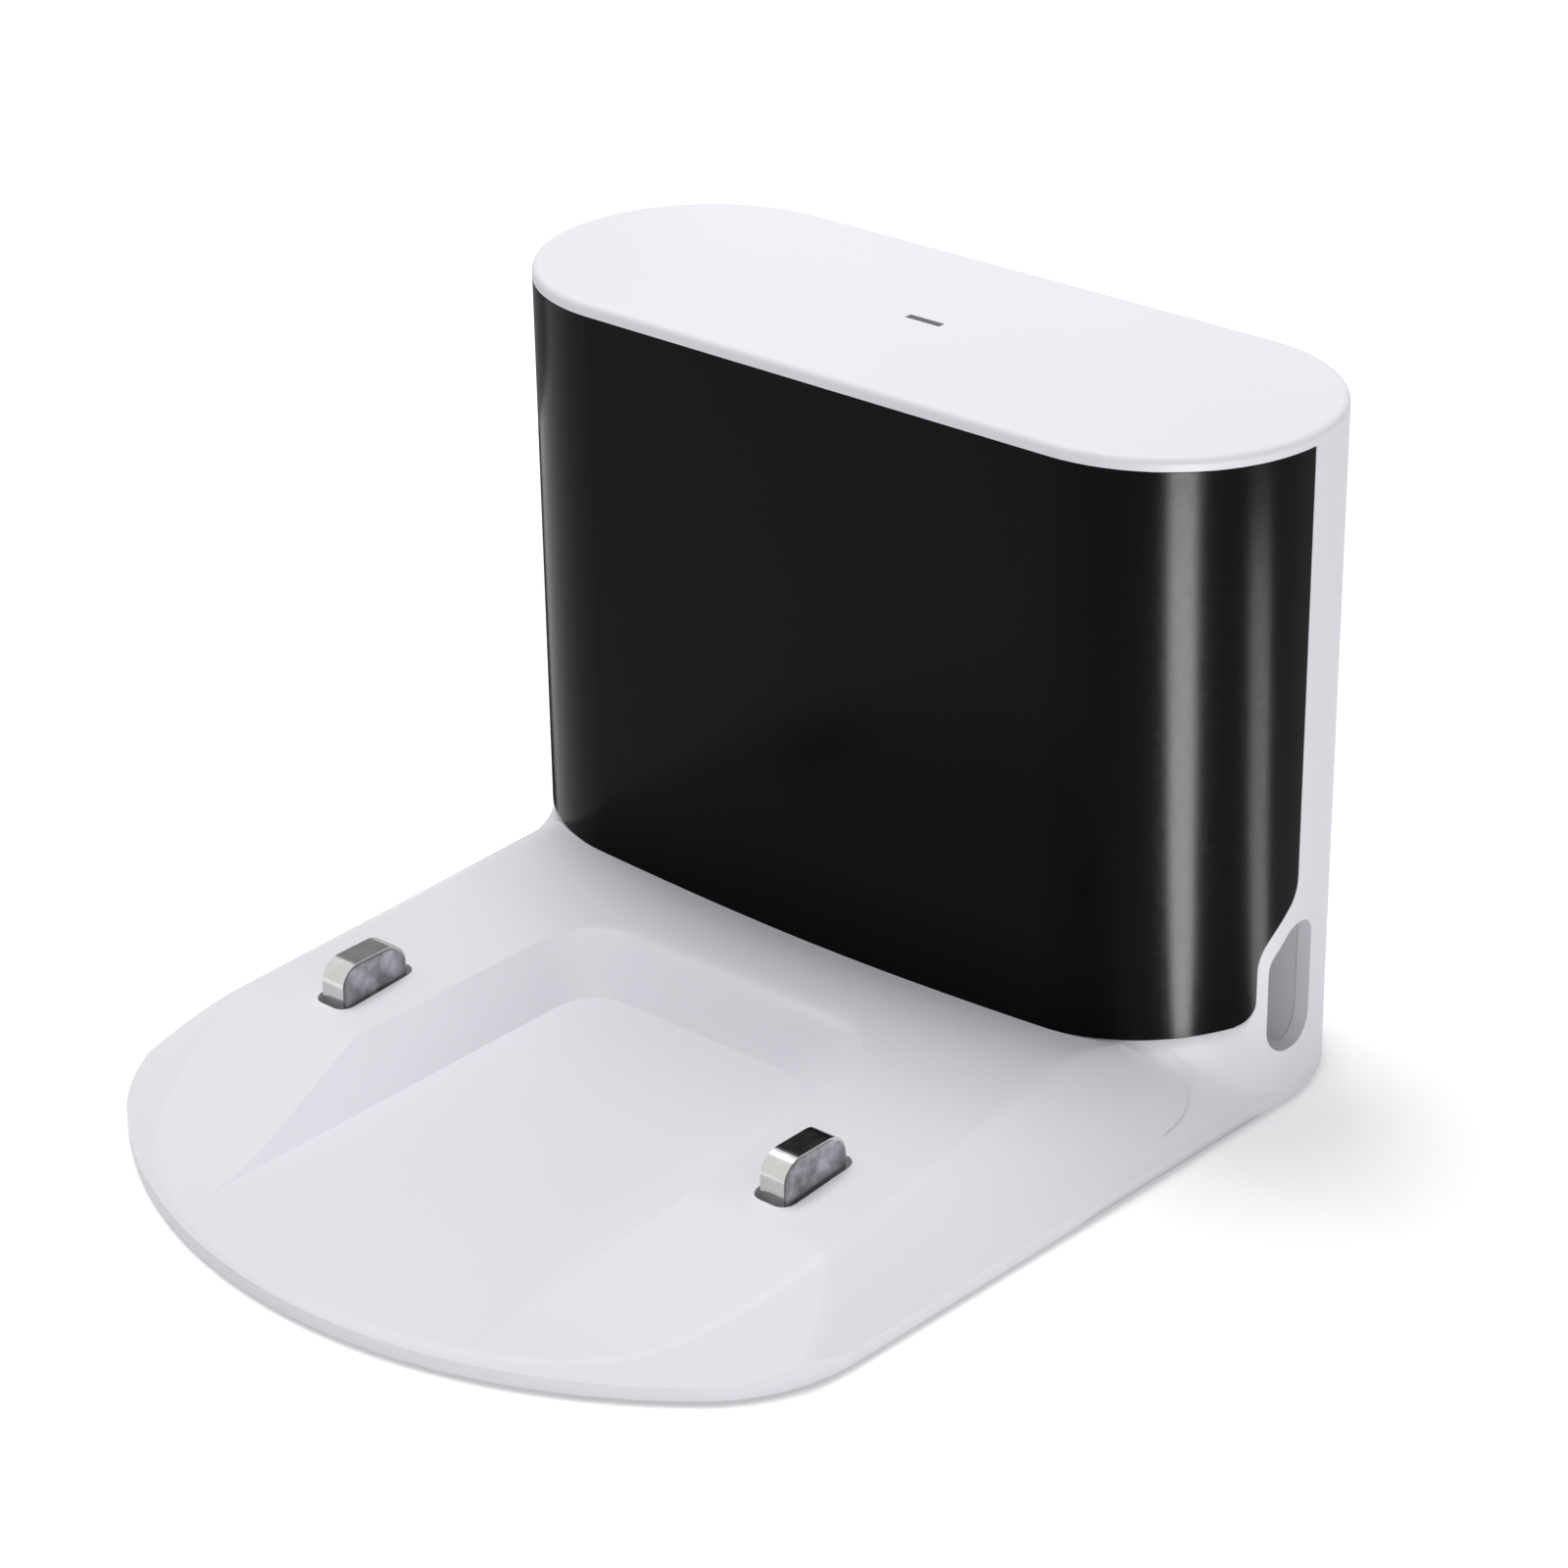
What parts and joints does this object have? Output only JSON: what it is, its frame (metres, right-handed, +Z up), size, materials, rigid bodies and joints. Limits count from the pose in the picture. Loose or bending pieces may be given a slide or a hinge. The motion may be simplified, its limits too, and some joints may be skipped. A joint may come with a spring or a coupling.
{
  "type": "robot vacuum charging dock",
  "caption": "Free-standing charging dock for a robot vacuum: a black-fronted tower, a low ramped deck with sprung charging contacts, and a cable compartment in the back.",
  "frame": {"origin": "middle of the dock's outline, on the floor under its feet", "axes": "+Z up, +Y from the front lip to the tower's back, +X to the right seen from the front"},
  "size_m": [0.13, 0.1508, 0.0986],
  "materials": {
    "shell_white": "satin",
    "window_black": "gloss",
    "inner_white": "matte",
    "foot_rubber": "matte",
    "contact_nickel": "polished",
    "contact_clear": "gloss",
    "spring_steel": "satin",
    "screw_steel": "satin",
    "terminal_brass": "satin",
    "holder_black": "matte",
    "board_green": "satin",
    "part_dark": "matte",
    "capacitor_can": "satin",
    "emitter_dark": "gloss",
    "light_clear": "gloss",
    "lead_grey": "satin"
  },
  "bodies": {
    "dock": {"housing": "shell_white", "front_window": "window_black", "bottom_cover": "inner_white", "cable_tray": "inner_white", "outlet_duct_left": "inner_white", "outlet_duct_right": "inner_white", "foot_front_left": "foot_rubber", "foot_front_right": "foot_rubber", "foot_rear_left": "foot_rubber", "foot_rear_right": "foot_rubber", "contact_spring_left": "spring_steel", "contact_spring_right": "spring_steel", "cover_screws": "screw_steel", "power_board_screws": "screw_steel", "emitter_board_screws": "screw_steel", "contact_terminal_left": "terminal_brass", "contact_terminal_right": "terminal_brass", "inlet_pin_left": "terminal_brass", "inlet_pin_right": "terminal_brass", "contact_holder_left": "holder_black", "contact_holder_right": "holder_black", "inlet_socket": "holder_black", "power_board": "board_green", "emitter_board": "board_green", "status_board": "board_green", "transformer": "part_dark", "filter_choke": "part_dark", "fuse": "part_dark", "bulk_capacitor": "capacitor_can", "output_capacitor": "capacitor_can", "emitter_left": "emitter_dark", "emitter_middle": "emitter_dark", "emitter_right": "emitter_dark", "light_pipe": "light_clear", "status_led": "light_clear", "contact_lead_left": "lead_grey", "contact_lead_right": "lead_grey", "inlet_lead_left": "lead_grey", "inlet_lead_right": "lead_grey", "emitter_cable": "lead_grey", "status_cable": "lead_grey"},
    "contact_left": {"contact_strip_left": "contact_nickel", "contact_block_left": "contact_clear"},
    "contact_right": {"contact_strip_right": "contact_nickel", "contact_block_right": "contact_clear"}
  },
  "joints": [
    {"name": "contact_left_press", "type": "slide", "parent": "dock", "child": "contact_left", "axis": [0, 0, -1], "range_m": [0, 0.002], "stiffness_N_per_m": 600, "springref_m": -0.001, "deforming": ["contact_spring_left"]},
    {"name": "contact_right_press", "type": "slide", "parent": "dock", "child": "contact_right", "axis": [0, 0, -1], "range_m": [0, 0.002], "stiffness_N_per_m": 600, "springref_m": -0.001, "deforming": ["contact_spring_right"]}
  ]
}
